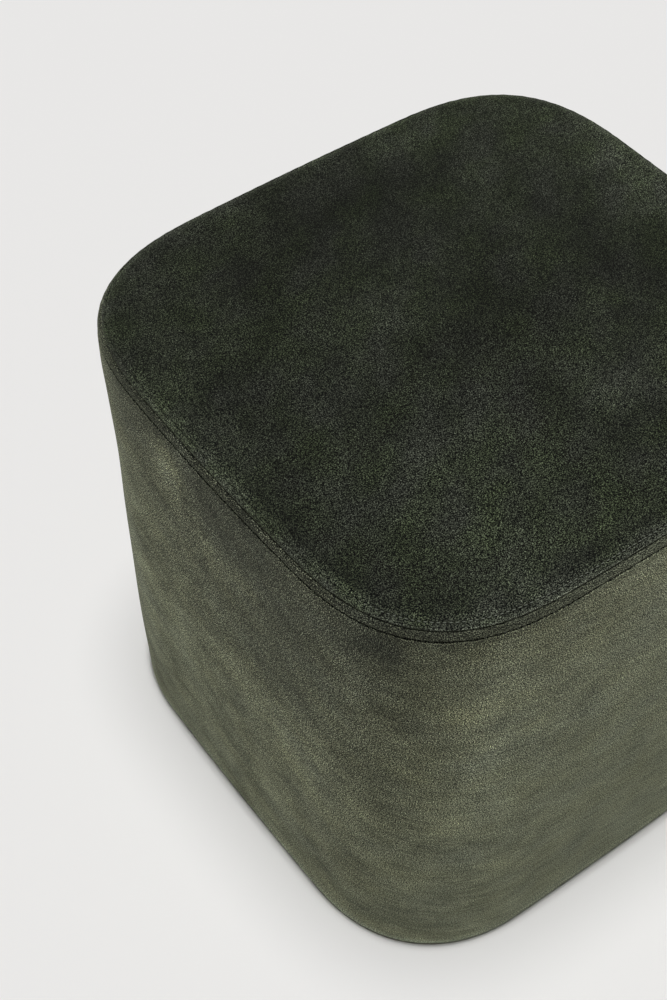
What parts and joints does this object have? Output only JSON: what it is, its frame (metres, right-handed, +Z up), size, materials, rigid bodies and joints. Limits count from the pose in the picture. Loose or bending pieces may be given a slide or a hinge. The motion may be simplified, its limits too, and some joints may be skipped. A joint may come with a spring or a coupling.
{
  "type": "cube pouf stool",
  "caption": "Low upholstered cube seat with soft rounded corners, velvet sides and top, and a topstitched seam round the top edge.",
  "frame": {"origin": "on the floor, under the middle of the stool", "axes": "+Z up; +X along the stool's width, which is a little more than its depth along Y"},
  "size_m": [0.4384, 0.4284, 0.404],
  "materials": {
    "top_velvet": "dark green cut velvet, nap lying away, dark seen from above",
    "side_velvet": "the same velvet with its nap lying level round the sides, lighter and more olive",
    "base_cloth": "plain black bottom cloth, matte",
    "thread": "grey-green polyester sewing thread, soft shine"
  },
  "bodies": {
    "root": {"top_panel": "top_velvet", "side_band": "side_velvet", "base_panel": "base_cloth"}
  },
  "joints": []
}
